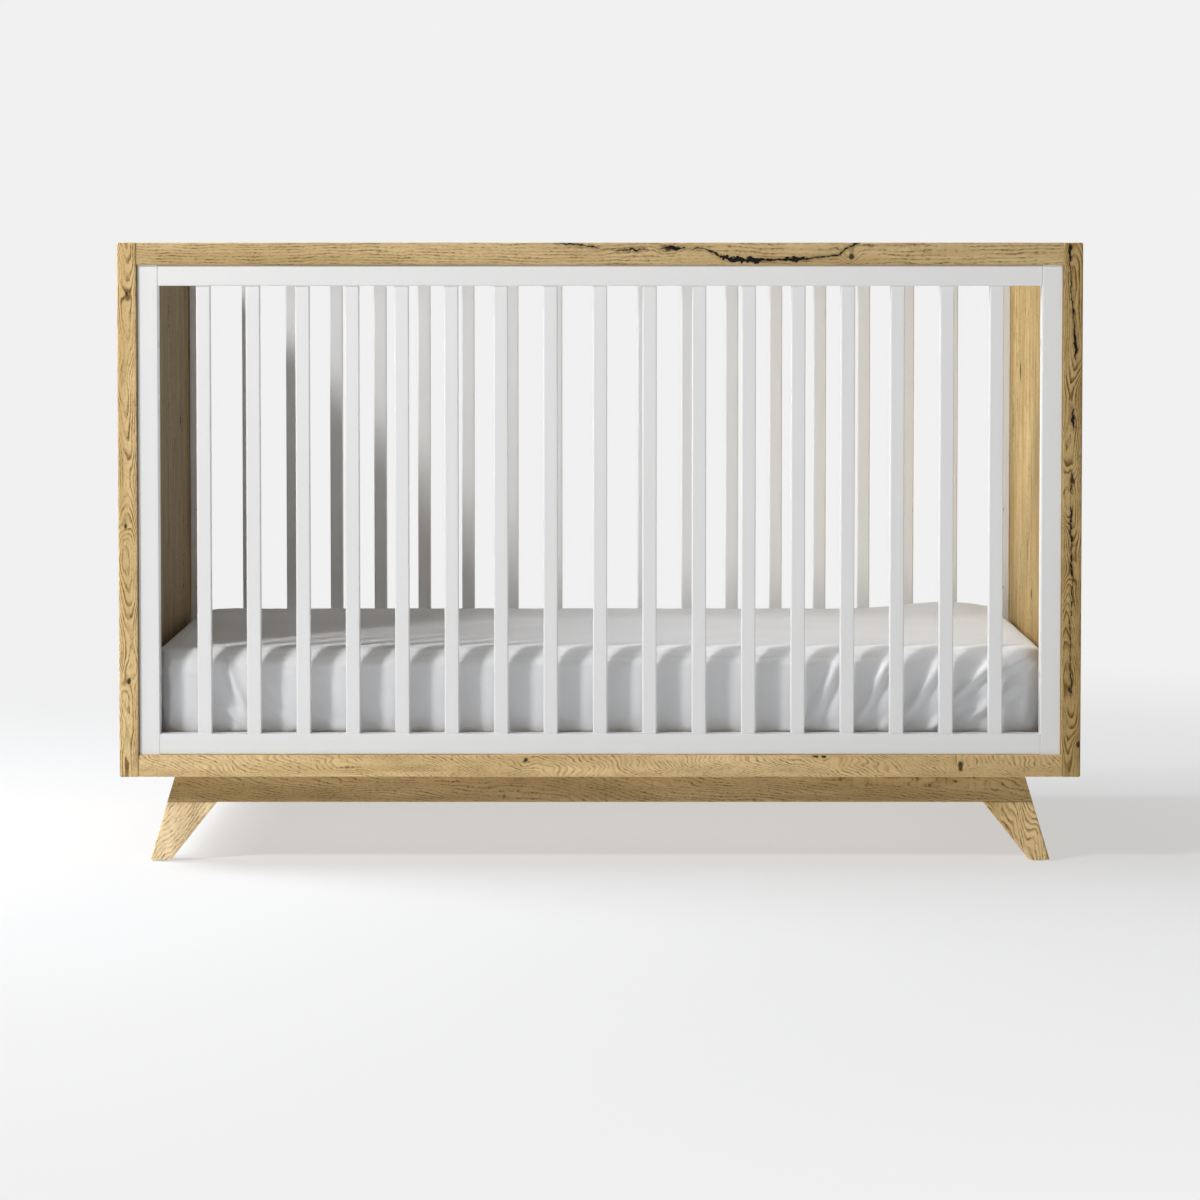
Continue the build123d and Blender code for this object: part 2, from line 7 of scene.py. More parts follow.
import bmesh
import bpy
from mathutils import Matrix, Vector, noise


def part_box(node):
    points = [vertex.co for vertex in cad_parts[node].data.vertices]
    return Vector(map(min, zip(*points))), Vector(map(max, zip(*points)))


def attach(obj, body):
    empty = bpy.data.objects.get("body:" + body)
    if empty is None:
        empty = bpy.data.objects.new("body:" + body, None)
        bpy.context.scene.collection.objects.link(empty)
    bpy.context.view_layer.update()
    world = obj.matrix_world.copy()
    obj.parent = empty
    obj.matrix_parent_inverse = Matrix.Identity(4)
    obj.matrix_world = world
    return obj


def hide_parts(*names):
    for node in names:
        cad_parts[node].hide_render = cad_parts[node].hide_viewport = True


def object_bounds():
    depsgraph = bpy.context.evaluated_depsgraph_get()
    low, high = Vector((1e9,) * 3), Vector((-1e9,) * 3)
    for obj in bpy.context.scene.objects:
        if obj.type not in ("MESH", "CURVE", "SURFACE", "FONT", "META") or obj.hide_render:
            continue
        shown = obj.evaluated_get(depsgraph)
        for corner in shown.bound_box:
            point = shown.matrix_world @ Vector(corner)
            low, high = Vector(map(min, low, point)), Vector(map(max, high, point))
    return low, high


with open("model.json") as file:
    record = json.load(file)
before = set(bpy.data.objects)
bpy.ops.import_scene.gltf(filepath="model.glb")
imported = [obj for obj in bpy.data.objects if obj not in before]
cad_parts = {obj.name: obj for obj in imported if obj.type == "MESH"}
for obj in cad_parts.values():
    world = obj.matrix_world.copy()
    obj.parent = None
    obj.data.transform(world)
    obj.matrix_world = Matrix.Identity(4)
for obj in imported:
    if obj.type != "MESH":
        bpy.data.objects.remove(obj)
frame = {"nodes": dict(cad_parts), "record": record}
cad_low, cad_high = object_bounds()
nodes = frame["nodes"]

FRONT = cad_low.y
LEFT, RIGHT = cad_low.x, cad_high.x
TOP = cad_high.z


# Materials


class Shade:
    """A material, built from short calls that take numbers or the sockets of other nodes."""

    def __init__(self, name):
        self.material = bpy.data.materials.new(name)
        self.material.use_nodes = True
        self.tree = self.material.node_tree
        self.tree.nodes.clear()
        self.output = self.tree.nodes.new("ShaderNodeOutputMaterial")

    def feed(self, socket, value):
        if isinstance(value, bpy.types.NodeSocket):
            self.tree.links.new(value, socket)
        elif value is not None:
            socket.default_value = value

    def node(self, kind, values=None, **settings):
        """A node with its settings, and values for its inputs by name or number."""
        node = self.tree.nodes.new("ShaderNode" + kind)
        for key, value in settings.items():
            setattr(node, key, value)
        for key, value in (values or {}).items():
            self.feed(node.inputs[key], value)
        return node

    def math(self, operation, *values):
        node = self.node("Math", operation=operation)
        for socket, value in zip(node.inputs, values):
            self.feed(socket, value)
        return node.outputs[0]

    def add(self, first, *others):
        for value in others:
            first = self.math("ADD", first, value)
        return first

    def times(self, first, *others):
        for value in others:
            first = self.math("MULTIPLY", first, value)
        return first

    def less(self, first, second):
        return self.math("SUBTRACT", first, second)

    def place(self):
        """The point on the piece in the crib's frame, as x, y and z in metres."""
        spot = self.node("TexCoord").outputs["Object"]
        return self.node("SeparateXYZ", {0: spot}).outputs

    def point(self, x, y, z):
        return self.node("CombineXYZ", {0: x, 1: y, 2: z}).outputs[0]

    def noise(self, point, scale=1.0, detail=2.0, roughness=0.5, distortion=0.0):
        values = {
            "Vector": point,
            "Scale": scale,
            "Detail": detail,
            "Roughness": roughness,
            "Distortion": distortion,
        }
        return self.node("TexNoise", values).outputs[0]

    def span(self, value, low, high, to_low=0.0, to_high=1.0, smooth=True):
        """The value mapped from low-high to to_low-to_high, and held at its ends."""
        kind = "SMOOTHSTEP" if smooth else "LINEAR"
        values = {0: value, 1: low, 2: high, 3: to_low, 4: to_high}
        return self.node("MapRange", values, interpolation_type=kind).outputs[0]

    def blend(self, share, first, second):
        node = self.node("Mix", data_type="RGBA")
        for number, value in ((0, share), (6, first), (7, second)):
            self.feed(node.inputs[number], value)
        return node.outputs[2]

    def curve(self, value, points):
        """The value through a smooth curve of (in, out) points from 0 to 1."""
        node = self.node("FloatCurve", {1: value})
        line = node.mapping.curves[0]
        for x, y in points[1:-1]:
            line.points.new(x, y)
        for end, (x, y) in ((0, points[0]), (-1, points[-1])):
            line.points[end].location = (x, y)
        node.mapping.update()
        return node.outputs[0]

    def bump(self, height, depth):
        return self.node("Bump", {"Height": height, "Distance": depth, "Strength": 1.0}).outputs[0]

    def finish(self, **values):
        """A Principled surface, with inputs named with underscores for spaces."""
        surface = self.node("BsdfPrincipled")
        for key, value in values.items():
            self.feed(surface.inputs[key.replace("_", " ")], value)
        self.tree.links.new(surface.outputs[0], self.output.inputs[0])
        return self.material


OAK_PALE = (0.80, 0.602, 0.330, 1.0)
OAK_MID = (0.60, 0.432, 0.212, 1.0)
OAK_LINE = (0.250, 0.145, 0.058, 1.0)
OAK_PORE = (0.120, 0.066, 0.028, 1.0)
OAK_KNOT = (0.030, 0.018, 0.010, 1.0)
RESIN = (0.008, 0.007, 0.006, 1.0)
PORE_ROWS = 620.0  # rows of pores in a metre across the grain
PORE_BREAKS = 190.0  # how often a row of pores breaks in a metre along the grain
FIBRE_BREAKS = 60.0
KNOT_SWIRL = 420.0  # growth lines that bend round a knot, for each metre of its radius
RIPPLE = 0.008  # how far the growth lines tremble, in metres
CLOUD = (30.0, 2.8)  # how often the tone changes in a metre across and along the grain
OAK_RELIEF = 0.0006
SEAM = 0.0012  # width of the line where two boards of a panel meet
SEED_STEP = 3.7  # moves each member's noise to a place of its own
BOARD_LOOK = {"rings": 70.0, "flame": 6.0, "flow": (11.0, 1.3), "marks": 0.52, "staves": 0.118}

# The narrow edges of the end panels, where the growth lines stand in arches over each other.
EDGE_LOOK = {"rings": 20.0, "flame": 1.5, "flow": (60.0, 14.0), "marks": 1.0}
EDGE_MIDDLE = 0.679  # distance of an edge's middle from the crib's
ARCH = 18000.0  # how steeply an arch falls to the sides of the edge
ARCH_BEND = (9.0, 0.03)  # how often and how far the arches lean aside
ARCH_SWEEP = (5.0, 26.0)  # how often the arches turn over, and how many stand in one sweep


def grain_axes(s, grain, place, normal):
    """The place along the grain, across it and into the wood, and a mask of one pair of sides."""
    x, y, z = place
    turned = {
        "X": ((x, y, z), (normal[1], normal[2])),
        "Y": ((y, x, z), (normal[0], normal[2])),
        "Z": ((z, x, y), (normal[0], normal[1])),
    }
    (along, first, second), (n_first, n_second) = turned[grain]
    mask = s.math("GREATER_THAN", s.math("ABSOLUTE", n_first), s.math("ABSOLUTE", n_second))
    rest = s.less(1.0, mask)
    across = s.add(s.times(mask, second), s.times(rest, first))
    depth = s.add(s.times(mask, first), s.times(rest, second))
    return along, across, depth, mask


def boards(s, across, wide, width, seed):
    """The boards that a panel is glued up from: a random number for each, and the seams' lines."""
    place = s.math("DIVIDE", s.add(across, 10.0), width)
    number = s.times(s.math("FLOOR", place), wide)
    seam = s.span(s.math("PINGPONG", place, 0.5), 0.0, SEAM / width, 1.0, 0.0)
    chance = s.node("TexWhiteNoise", {"Vector": s.point(number, seed, 0.0)}, noise_dimensions="3D")
    return chance.outputs[0], s.times(seam, wide)


def arches(s, across, along, seed):
    """Growth lines that stand in arches over each other on a panel's edge."""
    bend = s.noise(s.point(seed, 0.5, s.times(along, ARCH_BEND[0])), 1.0, 1.0)
    sweep = s.noise(s.point(seed, 7.5, s.times(along, ARCH_SWEEP[0])), 1.0, 1.0)
    lean = s.times(s.less(bend, 0.5), ARCH_BEND[1])
    off = s.add(s.math("ABSOLUTE", across), -EDGE_MIDDLE, lean)
    return s.add(s.times(off, off, ARCH), s.times(sweep, ARCH_SWEEP[1]))


def oak(name, grain, seed, **look):
    """Rustic oak with its grain along one axis.

    rings is the growth lines in a metre, slant how they run off the grain, flame and flow how far
    and how often they wander, and marks how dark they are. knots are (along, across, radius,
    stretch) in metres, cracks are lines filled with black resin, and staves is the width of the
    boards that a wide panel is glued up from. tone and strength are the colour's brightness and
    saturation, and faces gives painted shade and painted light on single sides, as the part of the
    normal, its sign and the tone: below 1 the side is darkened, above 1 it is lightened.
    """
    rings, flame, marks = look.get("rings", 200.0), look.get("flame", 6.0), look.get("marks", 0.5)
    flow_across, flow_along = look.get("flow", (16.0, 2.2))
    knots, staves = look.get("knots", ()), look.get("staves")
    s = Shade(name)
    x, y, z = s.place()
    normal = s.node("SeparateXYZ", {0: s.node("NewGeometry").outputs["Normal"]}).outputs
    along, across, depth, wide = grain_axes(s, grain, (x, y, z), normal)

    tint, shift, seam = 0.5, seed * SEED_STEP, 0.0
    fine = PORE_ROWS / rings
    if staves:
        tint, seam = boards(s, across, wide, staves, seed)
        shift = s.add(s.times(tint, 9.0), shift)
        flow_across = s.span(wide, 0.0, 1.0, EDGE_LOOK["flow"][0], flow_across)
        flow_along = s.span(wide, 0.0, 1.0, EDGE_LOOK["flow"][1], flow_along)
        rings = s.span(wide, 0.0, 1.0, EDGE_LOOK["rings"], rings)
        flame = s.span(wide, 0.0, 1.0, EDGE_LOOK["flame"], flame)
        marks = s.span(wide, 0.0, 1.0, EDGE_LOOK["marks"], marks)

    flowing = s.add(s.times(along, flow_along), shift)
    path = s.point(s.times(across, flow_across), s.times(depth, 6.0), flowing)
    figure = s.noise(path, 1.0, 2.0, 0.45)
    ripple = s.noise(s.point(s.times(across, 60.0), shift, s.times(along, 24.0)), 1.0, 2.0, 0.5)
    spots = s.point(s.times(across, 70.0), s.times(depth, 20.0), s.times(along, 26.0))
    fade = s.noise(spots, 1.0, 2.0)
    field = s.times(s.add(across, s.times(along, look.get("slant", 0.0))), rings)
    field = s.add(field, s.times(figure, s.times(flame, 2.0)), s.times(ripple, rings, RIPPLE))
    if staves:
        edge = s.less(1.0, wide)
        field = s.add(field, s.times(arches(s, across, along, seed), edge))
    knot_dark = 0.0
    for knot_along, knot_across, radius, stretch in knots:
        du = s.math("DIVIDE", s.less(across, knot_across), radius)
        da = s.math("DIVIDE", s.less(along, knot_along), radius * stretch)
        du = s.add(du, s.times(s.less(ripple, 0.5), 2.6))
        da = s.add(da, s.times(s.less(fade, 0.5), 2.6))
        gap = s.math("SQRT", s.add(s.times(du, du), s.times(da, da)))
        field = s.add(field, s.span(gap, 0.2, 4.5, min(KNOT_SWIRL * radius, 3.0), 0.0))
        knot_dark = s.math("MAXIMUM", knot_dark, s.span(gap, 0.45, 1.15, 1.0, 0.0))

    ring = s.math("FRACT", field)
    rise, fall = s.span(ring, 0.45, 0.93, 0.0, 1.0), s.span(ring, 0.0, 0.08, 1.0, 0.0)
    line = s.times(s.math("MAXIMUM", rise, fall), s.span(fade, 0.36, 0.62, 0.25, 1.0))
    rows = s.times(field, fine)
    if staves:
        rows = s.add(s.times(rows, wide), s.times(across, edge, PORE_ROWS))
    strands = s.point(s.times(rows, 0.55), shift, s.times(along, FIBRE_BREAKS))
    fibre = s.noise(strands, 1.0, 2.0, 0.65)
    pore = s.noise(s.point(rows, shift, s.times(along, PORE_BREAKS)), 1.0, 1.0, 0.5)
    pore = s.times(s.span(pore, 0.54, 0.63), s.add(0.25, s.times(line, 0.75)))
    drift = s.point(s.times(across, CLOUD[0]), seed * 1.3, s.times(along, CLOUD[1]))
    cloud = s.noise(drift, 1.0, 3.0, 0.6)

    colour = s.blend(s.span(cloud, 0.32, 0.66), OAK_PALE, OAK_MID)
    colour = s.blend(s.span(fibre, 0.40, 0.72, 0.0, 0.45), colour, OAK_MID)
    colour = s.blend(s.times(line, marks), colour, OAK_LINE)
    colour = s.blend(s.times(pore, 0.66), colour, OAK_PORE)
    colour = s.blend(s.times(seam, 0.6), colour, OAK_LINE)
    if knots:
        colour = s.blend(s.times(knot_dark, 0.93), colour, OAK_KNOT)
    height = s.less(s.times(fibre, 0.3), s.add(s.times(line, 0.30), s.times(pore, 1.0)))
    rough = s.add(0.60, s.times(line, 0.08), s.times(fibre, 0.10))
    for crack in look.get("cracks", ()):
        black, near = resin_line(s, crack, x, y, z)
        colour = s.blend(s.times(near, 0.55), colour, OAK_PORE)
        colour = s.blend(black, colour, RESIN)
        rough = s.less(rough, s.times(black, 0.25))
        height = s.less(height, s.times(black, 0.8))
    tone_with_painted_side_shade = s.add(s.times(tint, 0.30), look.get("tone", 1.0) - 0.15)
    # Painted shade and painted light: single sides are made darker or lighter by the way they face.
    for axis, sign, painted_side_light_and_shade in look.get("faces", ()):
        painted_side_mask = s.math("GREATER_THAN", s.times(normal[axis], sign), 0.7)
        tone_with_painted_side_shade = s.times(tone_with_painted_side_shade, s.add(1.0, s.times(painted_side_mask, painted_side_light_and_shade - 1.0)))
    values = {"Hue": 0.5, "Saturation": look.get("strength", 1.06), "Value": tone_with_painted_side_shade, "Color": colour}
    return s.finish(
        Base_Color=s.node("HueSaturation", values).outputs[0],
        Roughness=rough,
        Normal=s.bump(height, OAK_RELIEF),
        Specular_IOR_Level=0.12,
    )


def resin_line(s, crack, x, y, z):
    """The filled crack's black line, and the stain that fades within a few millimetres of it."""
    axes = {"x": x, "y": y, "z": z}
    (a_low, a_high), (b_low, b_high) = crack["along"], crack["across"]
    share = s.span(axes[crack["runs"]], a_low, a_high, 0.0, 1.0, smooth=False)
    middle = s.add(b_low, s.times(s.curve(share, crack["path"]), b_high - b_low))
    width = s.times(s.curve(share, crack["width"]), crack["widest"])
    wander = s.noise(s.point(s.times(x, 70.0), s.times(y, 20.0), s.times(z, 70.0)), 1.0, 2.0, 0.6)
    ragged = s.noise(s.point(s.times(x, 190.0), s.times(y, 40.0), s.times(z, 190.0)), 1.0, 1.0, 0.6)
    width = s.times(width, s.span(ragged, 0.34, 0.62, 0.45, 1.25))
    middle = s.add(middle, s.times(s.less(wander, 0.5), 0.010))
    middle = s.add(middle, s.times(s.less(ragged, 0.5), 0.0015))
    off = s.math("ABSOLUTE", s.less(axes[crack["strays"]], middle))
    line = s.math("LESS_THAN", off, width)
    stain = s.times(s.span(off, 0.0, 0.006, 1.0, 0.0), s.span(width, 0.0, 0.0008))
    for axis, (low, high) in ((crack["side"], crack["only"]), (crack["runs"], crack["along"])):
        above = s.math("GREATER_THAN", axes[axis], low)
        inside = s.times(above, s.math("LESS_THAN", axes[axis], high))
        line, stain = s.times(line, inside), s.times(stain, inside)
    return line, stain


def lacquer():
    """Satin white lacquer on close-grained wood."""
    s = Shade("white_lacquer")
    x, y, z = s.place()
    peel = s.noise(s.point(x, y, z), 160.0, 2.0, 0.5)
    brush = s.noise(s.point(s.times(x, 600.0), s.times(y, 600.0), s.times(z, 26.0)), 1.0, 2.0, 0.6)
    cloud = s.noise(s.point(x, y, z), 5.0, 2.0, 0.5)
    colour = s.blend(cloud, (0.845, 0.845, 0.842, 1.0), (0.885, 0.884, 0.880, 1.0))
    height = s.add(s.times(peel, 0.6), s.times(brush, 0.4))
    return s.finish(
        Base_Color=colour,
        Roughness=s.span(peel, 0.3, 0.7, 0.34, 0.44),
        Normal=s.bump(height, 0.00012),
        Coat_Weight=0.15,
        Coat_Roughness=0.25,
    )


def plain_wood(name, pale, dark, grain):
    """A close-grained hardwood, such as birch or beech, with its grain along one axis."""
    s = Shade(name)
    scale = [420.0, 420.0, 420.0]
    scale["XYZ".index(grain)] = 16.0
    parts = [s.times(part, value) for part, value in zip(s.place(), scale)]
    fibre = s.noise(s.point(*parts), 1.0, 3.0, 0.6)
    broad = s.noise(s.point(*[s.times(part, 0.09) for part in parts]), 1.0, 2.0, 0.5, 0.6)
    colour = s.blend(s.add(s.times(fibre, 0.5), s.times(broad, 0.6)), pale, dark)
    return s.finish(
        Base_Color=colour,
        Roughness=s.span(fibre, 0.2, 0.8, 0.52, 0.66),
        Normal=s.bump(fibre, 0.00025),
        Specular_IOR_Level=0.35,
    )


def metal(name, colour, rough, brushed):
    """Plated or turned metal with fine marks."""
    s = Shade(name)
    x, y, z = s.place()
    marks = s.noise(s.point(x, y, z), brushed, 3.0, 0.6)
    stain = s.noise(s.point(x, y, z), 90.0, 2.0, 0.5)
    darker = tuple(0.72 * part for part in colour[:3]) + (1.0,)
    return s.finish(
        Base_Color=s.blend(stain, darker, colour),
        Metallic=1.0,
        Roughness=s.span(marks, 0.3, 0.7, rough - 0.08, rough + 0.10),
        Normal=s.bump(marks, 0.00006),
    )


def powder_coat():
    s = Shade("black_steel")
    x, y, z = s.place()
    grit = s.noise(s.point(x, y, z), 900.0, 2.0, 0.6)
    colour = s.blend(grit, (0.012, 0.012, 0.013, 1.0), (0.030, 0.030, 0.031, 1.0))
    return s.finish(
        Base_Color=colour,
        Roughness=s.span(grit, 0.3, 0.7, 0.42, 0.58),
        Normal=s.bump(grit, 0.0002),
    )


def nylon():
    s = Shade("nylon")
    x, y, z = s.place()
    grain = s.noise(s.point(x, y, z), 700.0, 2.0, 0.5)
    scuff = s.noise(s.point(x, y, z), 120.0, 3.0, 0.7)
    colour = s.blend(s.span(scuff, 0.45, 0.7), (0.74, 0.72, 0.67, 1.0), (0.52, 0.50, 0.46, 1.0))
    return s.finish(Base_Color=colour, Roughness=0.5, Normal=s.bump(grain, 0.0001))


def woven(name, pale, shadow, thread, sheen):
    """Plain-weave cotton: threads over and under in both directions, with slubs."""
    s = Shade(name)
    x, y, z = s.place()
    normal = s.node("SeparateXYZ", {0: s.node("NewGeometry").outputs["Normal"]}).outputs
    upright = s.math("GREATER_THAN", s.math("ABSOLUTE", normal[2]), 0.6)
    endwise = s.math("GREATER_THAN", s.math("ABSOLUTE", normal[0]), 0.7)
    u = s.add(s.times(x, s.less(1.0, endwise)), s.times(y, endwise))
    v = s.add(s.times(y, upright), s.times(z, s.less(1.0, upright)))
    turn = 2 * math.pi / thread
    warp = s.math("SINE", s.times(u, turn))
    weft = s.math("SINE", s.times(v, turn))
    weave = s.math("MULTIPLY", warp, weft)
    slub = s.noise(s.point(s.times(x, 500.0), s.times(y, 500.0), s.times(z, 60.0)), 1.0, 2.0, 0.6)
    cloud = s.noise(s.point(x, y, z), 9.0, 3.0, 0.5)
    height = s.add(s.times(weave, 0.5), s.times(slub, 0.7))
    colour = s.blend(s.span(cloud, 0.3, 0.7), pale, shadow)
    return s.finish(
        Base_Color=colour,
        Roughness=s.span(slub, 0.3, 0.7, 0.72, 0.86),
        Normal=s.bump(height, 0.00010),
        Sheen_Weight=sheen,
        Sheen_Roughness=0.5,
    )


def dress(name, material):
    """Gives a CAD node a material in place of its own."""
    slots = nodes[name].data.materials
    slots.clear()
    slots.append(material)


# A crack runs along one axis, strays along another and shows only in a range of the third. Its path
# across its strip and its width, up to its widest, are curves from 0 to 1 over its length.
TOP_CRACK = {
    "runs": "x",
    "strays": "z",
    "side": "y",
    "only": (FRONT, FRONT + 0.016),
    "along": (-0.066, 0.374),
    "across": (TOP - 0.032, TOP),
    "widest": 0.0044,
    "path": [
        (0.0, 1.0), (0.11, 0.85), (0.22, 0.67), (0.38, 0.74), (0.46, 0.75), (0.52, 0.54),
        (0.59, 0.23), (0.66, 0.20), (0.78, 0.24), (0.91, 0.39), (0.95, 0.72), (1.0, 1.0),
    ],
    "width": [
        (0.0, 0.10), (0.10, 0.22), (0.18, 0.05), (0.26, 0.22), (0.33, 0.03), (0.385, 0.55),
        (0.43, 0.12), (0.52, 0.35), (0.59, 0.95), (0.66, 0.80), (0.71, 0.35), (0.78, 0.75),
        (0.84, 0.18), (0.94, 0.28), (1.0, 0.12),
    ],
}

SIDE_CRACK = {
    "runs": "z",
    "strays": "y",
    "side": "x",
    "only": (LEFT - 1.0, RIGHT + 1.0),
    "along": (0.20, 0.66),
    "across": (-0.20, -0.14),
    "widest": 0.0056,
    "path": [(0.0, 0.35), (0.3, 0.55), (0.55, 0.42), (0.75, 0.62), (1.0, 0.5)],
    "width": [
        (0.0, 0.0), (0.2, 0.35), (0.35, 0.08), (0.5, 0.7), (0.62, 0.15), (0.8, 0.45), (1.0, 0.0),
    ],
}

END_CRACK = {
    "runs": "z",
    "strays": "x",
    "side": "y",
    "only": (FRONT - 0.001, FRONT + 0.010),
    "along": (0.240, 0.896),
    "across": (RIGHT - 0.028, RIGHT),
    "widest": 0.0020,
    "path": [
        (0.0, 0.50), (0.15, 0.46), (0.28, 0.50), (0.40, 0.44), (0.50, 0.46), (0.62, 0.52),
        (0.76, 0.62), (0.86, 0.46), (0.95, 0.34), (1.0, 0.36),
    ],
    "width": [
        (0.0, 0.05), (0.02, 0.30), (0.15, 0.24), (0.26, 0.28), (0.285, 0.60), (0.31, 0.55),
        (0.33, 0.22), (0.36, 0.75), (0.42, 0.50), (0.445, 0.0), (0.465, 0.50), (0.495, 0.45),
        (0.515, 0.0), (0.58, 0.0), (0.60, 0.55), (0.62, 0.85), (0.64, 0.30), (0.66, 0.0),
        (0.735, 0.0), (0.755, 0.75), (0.78, 0.95), (0.81, 0.45), (0.88, 0.34), (0.94, 0.20),
        (0.965, 0.50), (0.985, 0.75), (1.0, 0.50),
    ],
}


# Every oak member's grain axis, noise seed and look, as oak() takes them.
OAKS = {
    "left_end_panel": dict(
        grain="Z", seed=1.0, cracks=[SIDE_CRACK], **BOARD_LOOK,
        # Painted shade on the inside and the outer side, painted light on the front edge.
        faces=[(0, 1, 0.43), (0, -1, 0.80), (1, -1, 1.17)],
        knots=[
            (0.826, -EDGE_MIDDLE, 0.0026, 1.8), (0.266, -EDGE_MIDDLE, 0.0032, 1.6),
            (0.49, -EDGE_MIDDLE - 0.004, 0.0024, 2.0), (0.62, 0.21, 0.008, 1.6),
            (0.48, -0.13, 0.012, 1.4), (0.76, -0.27, 0.005, 1.6),
        ],
    ),
    "right_end_panel": dict(
        grain="Z", seed=4.0, strength=1.16, cracks=[END_CRACK, SIDE_CRACK], **BOARD_LOOK,
        # Front edge darker, partly darker wood and partly painted shade; back edge and inside
        # painted shade.
        faces=[(1, -1, 0.68), (1, 1, 0.76), (0, -1, 0.76)],
        knots=[
            (0.70, 0.20, 0.013, 1.5), (0.36, 0.02, 0.006, 1.6), (0.53, -0.16, 0.017, 1.3),
            (0.556, EDGE_MIDDLE - 0.001, 0.0038, 1.6), (0.424, EDGE_MIDDLE, 0.0026, 2.0),
            (0.62, 0.30, 0.005, 3.5), (0.255, EDGE_MIDDLE - 0.002, 0.0030, 1.8),
            (0.176, EDGE_MIDDLE + 0.010, 0.0034, 1.8),
        ],
    ),
    "front_top_rail": dict(
        grain="X", seed=2.0, tone=0.92, flame=4.0, marks=0.42, cracks=[TOP_CRACK],
        knots=[(0.361, 0.878, 0.0042, 1.0), (0.099, 0.8895, 0.0030, 1.8)],
    ),
    "back_top_rail": dict(grain="X", seed=5.0, marks=0.35),
    "front_bottom_rail": dict(
        grain="X", seed=3.0, slant=0.34, rings=290.0, flame=12.0, flow=(17.0, 5.0), marks=0.46,
        tone=1.15, strength=1.04,
        knots=[
            (-0.108, 0.151, 0.0040, 1.1), (0.311, 0.158, 0.0032, 1.7),
            (0.322, 0.158, 0.0032, 1.4), (0.520, 0.142, 0.0080, 0.52),
        ],
    ),
    "back_bottom_rail": dict(
        grain="X", seed=6.0, slant=-0.25, flow=(20.0, 5.0), knots=[(0.21, 0.148, 0.004, 1.6)]
    ),
    "front_apron": dict(
        grain="X", seed=7.0, slant=0.15, flame=8.0, flow=(20.0, 3.5), marks=0.38, tone=0.82
    ),
    "back_apron": dict(grain="X", seed=8.0, slant=-0.2, marks=0.35, tone=0.90),
    "left_cross_rail": dict(grain="Y", seed=9.0, tone=0.92),
    "right_cross_rail": dict(grain="Y", seed=10.0, tone=0.92),
    "front_left_leg": dict(
        grain="Z", seed=11.0, slant=-0.75, rings=170.0, flame=4.5, flow=(18.0, 9.0), marks=0.40,
        tone=1.33, strength=0.90,
    ),
    "front_right_leg": dict(
        grain="Z", seed=12.0, slant=0.35, rings=150.0, flow=(22.0, 9.0), marks=0.8, tone=1.14
    ),
    "back_left_leg": dict(grain="Z", seed=13.0, slant=0.4),
    "back_right_leg": dict(grain="Z", seed=14.0, slant=-0.4),
}


def dress_frame():
    """Materials of every CAD node that shows as it is."""
    for name, look in OAKS.items():
        dress(name, oak("oak_" + name, **look))
    shared = {
        "white_lacquer": lacquer(),
        "black_steel": powder_coat(),
        "zinc": metal("zinc", (0.62, 0.63, 0.65, 1.0), 0.34, 1500.0),
        "brass": metal("brass", (0.78, 0.60, 0.28, 1.0), 0.30, 1500.0),
        "nylon": nylon(),
        "beech": plain_wood("beech", (0.66, 0.45, 0.27, 1.0), (0.52, 0.33, 0.18, 1.0), "X"),
    }
    birch_pale, birch_dark = (0.76, 0.61, 0.41, 1.0), (0.62, 0.46, 0.28, 1.0)
    birch = {
        axis: plain_wood("birch_" + axis.lower(), birch_pale, birch_dark, axis) for axis in "XY"
    }
    for part in frame["record"]["subparts"]:
        name, slot = part["node"], part["material_slot"]
        if slot in shared:
            dress(name, shared[slot])
        elif slot == "birch":
            dress(name, birch["X" if name in ("support_front_rail", "support_back_rail") else "Y"])


# Mattress and sheet

SHEET_VOXEL, CORE_VOXEL, FIRM_VOXEL = 0.0078, 0.010, 0.018
CORE_INSET = Vector((0.003, 0.003, 0.001))  # the mattress is this much smaller than its CAD box
SHEET_OFF = Vector((-0.0005, -0.0005, 0.0012))  # how far the sheet starts outside that box
EDGE_ROUND = 0.022
CORNER_ROUND = 0.045
SHEET_CLOTH = 0.0008
HEM = 0.055
LIFT_BEFORE, LIFT_AFTER = 0.5, 1.45  # shares of the folds lifted before and after the simulation
RAISED_AT = Vector((0.555, 0.305))
RAISED_SIZE = (0.085, 0.075)
RAISED_BY = 0.011
SETTLE_FRAMES = 24
MOST_MOVE = 0.008
CLEAR = 0.001  # the cloth stays this far from the wood
HELD_HEIGHT = 0.006  # the cloth is held up to this height above its lower side
FOLDS_FADE = 0.02  # height in which the folds fade in above the lower side
ROLL = (0.0016, 0.013, 0.008)  # height, distance from the rim of the top and width
GROOVE = (0.0012, 0.030, 0.006)
SWELL, SWELL_SCALE = 0.0035, 3.1
QUILT = 0.075  # side of a quilting diamond
QUILT_DEPTH, QUILT_WIDTH = 0.0022, 0.006

mattress_low, mattress_high = (Vector(corner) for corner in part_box("mattress"))


def new_object(name, mesh):
    made = bpy.data.objects.new(name, mesh)
    bpy.context.scene.collection.objects.link(made)
    return made


def settle(made):
    """Applies an object's modifiers to its mesh."""
    seen = made.evaluated_get(bpy.context.evaluated_depsgraph_get())
    mesh = bpy.data.meshes.new_from_object(seen)
    made.modifiers.clear()
    made.data = mesh
    return made


